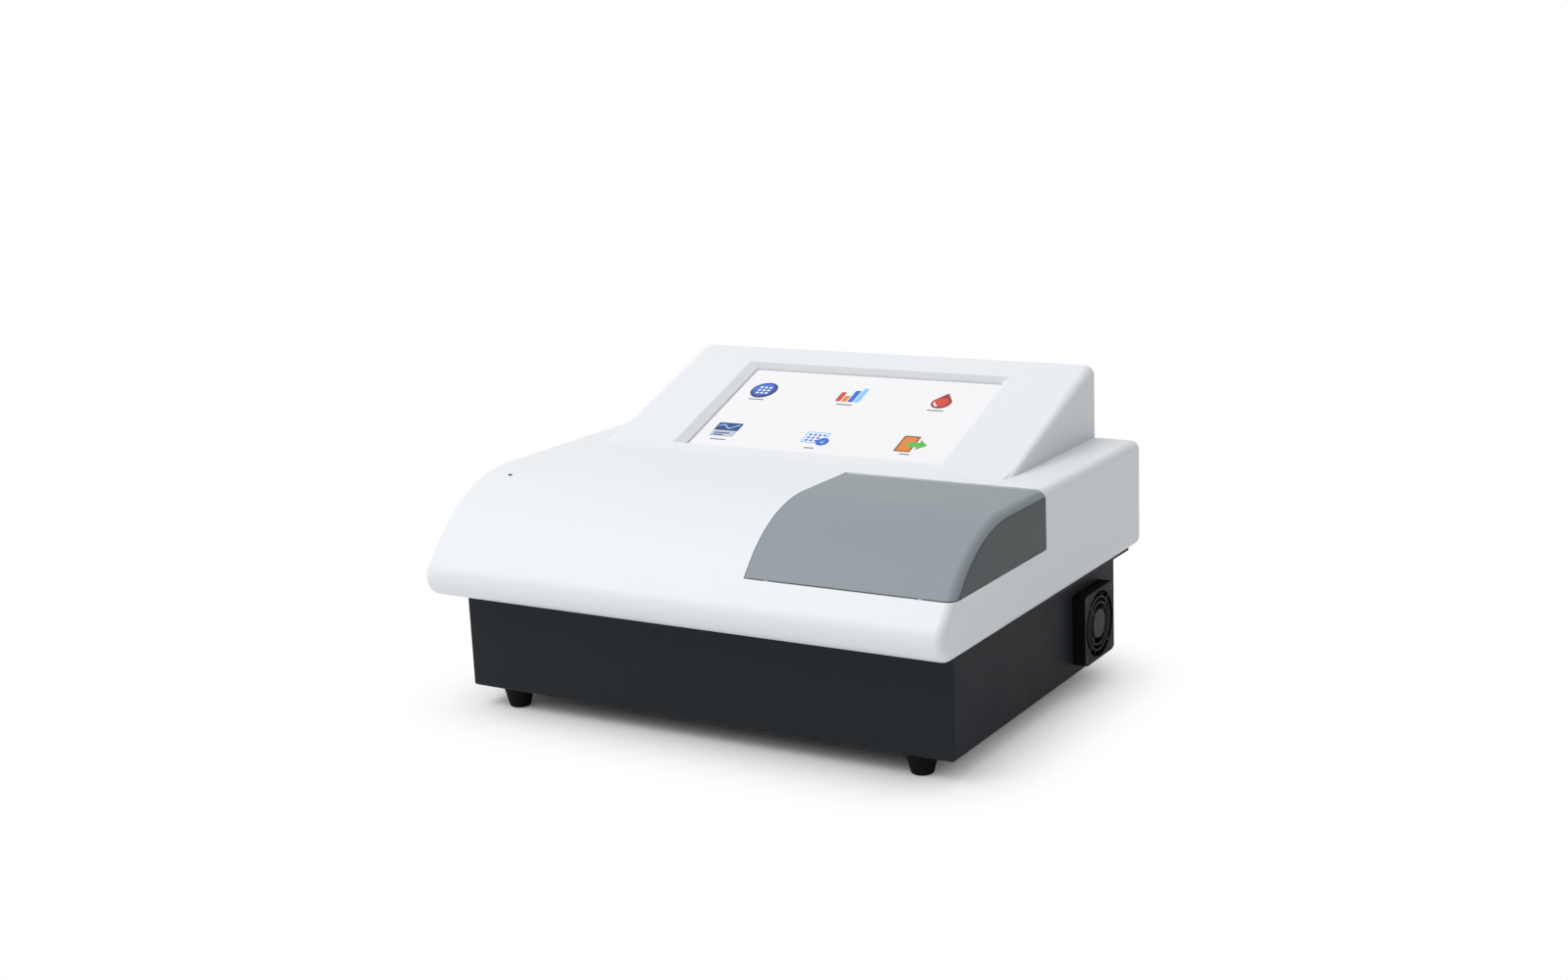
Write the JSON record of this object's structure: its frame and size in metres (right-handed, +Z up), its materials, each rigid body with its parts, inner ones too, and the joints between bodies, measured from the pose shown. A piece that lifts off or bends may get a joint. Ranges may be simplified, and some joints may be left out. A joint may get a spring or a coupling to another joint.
{
  "type": "microplate reader",
  "caption": "Bench instrument with a moulded cover on a sheet-metal base, a sloped touch screen, a lift-up lid over a sliding plate carrier, and filter optics inside.",
  "frame": {"origin": "middle of the footprint, on the bench under the feet", "axes": "+X to the right across the front, +Y to the rear, +Z up"},
  "size_m": [0.44, 0.3479, 0.2362],
  "materials": {
    "white_cover": "satin moulded plastic",
    "lid_grey": "satin moulded plastic",
    "black_sheet": "satin powder coat",
    "liner_black": "matt moulded plastic",
    "foot_rubber": "matt rubber",
    "fan_plastic": "matt moulded plastic",
    "screw_steel": "plain steel",
    "alloy": "clear anodised",
    "motor_black": "satin paint",
    "bush_bronze": "sintered bronze",
    "board_green": "solder mask",
    "chip_black": "moulded",
    "panel_metal": "display module",
    "screen_glass": "lit touch screen",
    "clear_glass": "optical glass",
    "filter_glass": "coated glass",
    "guide_plastic": "polished fibre"
  },
  "bodies": {
    "housing": {"top_cover": "white_cover", "base_chassis": "black_sheet", "deck_plate": "black_sheet", "bay_liner": "liner_black", "feet": "foot_rubber", "foot_screws": "screw_steel", "case_screws": "screw_steel", "touch_glass": "screen_glass", "screen_seal": "foot_rubber", "display_panel": "panel_metal", "display_frame": "screw_steel", "display_screws": "screw_steel", "display_board": "board_green", "power_indicator": "fan_plastic", "indicator_board": "board_green", "fan_frame": "fan_plastic", "finger_guard": "fan_plastic", "fan_screws": "screw_steel", "power_inlet": "fan_plastic", "inlet_pins": "screw_steel", "switch_frame": "fan_plastic", "data_ports": "screw_steel", "power_supply": "alloy", "main_board": "board_green", "board_parts": "chip_black", "board_standoffs": "alloy", "hinge_pins": "screw_steel", "lid_bumpers": "foot_rubber", "guide_rods": "screw_steel", "rod_mounts": "liner_black", "drive_belt": "foot_rubber", "idler_post": "screw_steel", "carriage_motor": "motor_black", "home_sensor": "fan_plastic", "optics_bridge": "alloy", "lens_block": "fan_plastic", "lenses": "clear_glass", "light_guides": "guide_plastic", "wheel_bracket": "alloy", "guide_coupler": "fan_plastic", "wheel_motor": "motor_black", "lamp_housing": "alloy", "lamp": "clear_glass", "detector_block": "fan_plastic", "detector_board": "board_green"},
    "lid_hood": {"lid": "lid_grey"},
    "carrier": {"plate_carrier": "alloy", "slide_bushes": "bush_bronze", "plate_spring": "screw_steel", "belt_clamp": "alloy", "clamp_screws": "screw_steel", "sensor_flag": "alloy"},
    "drive_wheel": {"drive_pulley": "alloy", "motor_shaft": "screw_steel"},
    "idler_wheel": {"idler_pulley": "alloy"},
    "filter_turret": {"filter_wheel": "motor_black", "filter_discs": "filter_glass", "wheel_shaft": "screw_steel"},
    "fan_blades": {"fan_rotor": "fan_plastic"},
    "rocker": {"power_rocker": "fan_plastic"}
  },
  "joints": [
    {"name": "lid_hinge", "type": "hinge", "parent": "housing", "child": "lid_hood", "pos_m": [0.1352, -0.0147, 0.1733], "axis": [-1, 0, 0], "range_deg": [0, 85]},
    {"name": "carrier_slide", "type": "slide", "parent": "housing", "child": "carrier", "axis": [0, 1, 0], "range_m": [0, 0.15]},
    {"name": "drive_spin", "type": "hinge", "parent": "housing", "child": "drive_wheel", "pos_m": [0.07041, 0.1066, 0.097], "axis": [0, 0, 1], "range_deg": [0, 1126]},
    {"name": "idler_spin", "type": "hinge", "parent": "housing", "child": "idler_wheel", "pos_m": [0.07041, -0.10837, 0.097], "axis": [0, 0, 1], "range_deg": [0, 1126]},
    {"name": "turret_spin", "type": "hinge", "parent": "housing", "child": "filter_turret", "pos_m": [0.0219, 0.001, 0.1422], "axis": [1, 0, 0], "continuous": true},
    {"name": "fan_spin", "type": "hinge", "parent": "housing", "child": "fan_blades", "pos_m": [0.21245, 0.0903, 0.0528], "axis": [1, 0, 0], "continuous": true},
    {"name": "rocker_tip", "type": "hinge", "parent": "housing", "child": "rocker", "pos_m": [-0.1, 0.1431, 0.05], "axis": [1, 0, 0], "range_deg": [-18, 0]}
  ],
  "couplings": [
    {"joint": "drive_spin", "follows": "carrier_slide", "rad_per_m": 130.9},
    {"joint": "idler_spin", "follows": "carrier_slide", "rad_per_m": 130.9}
  ]
}
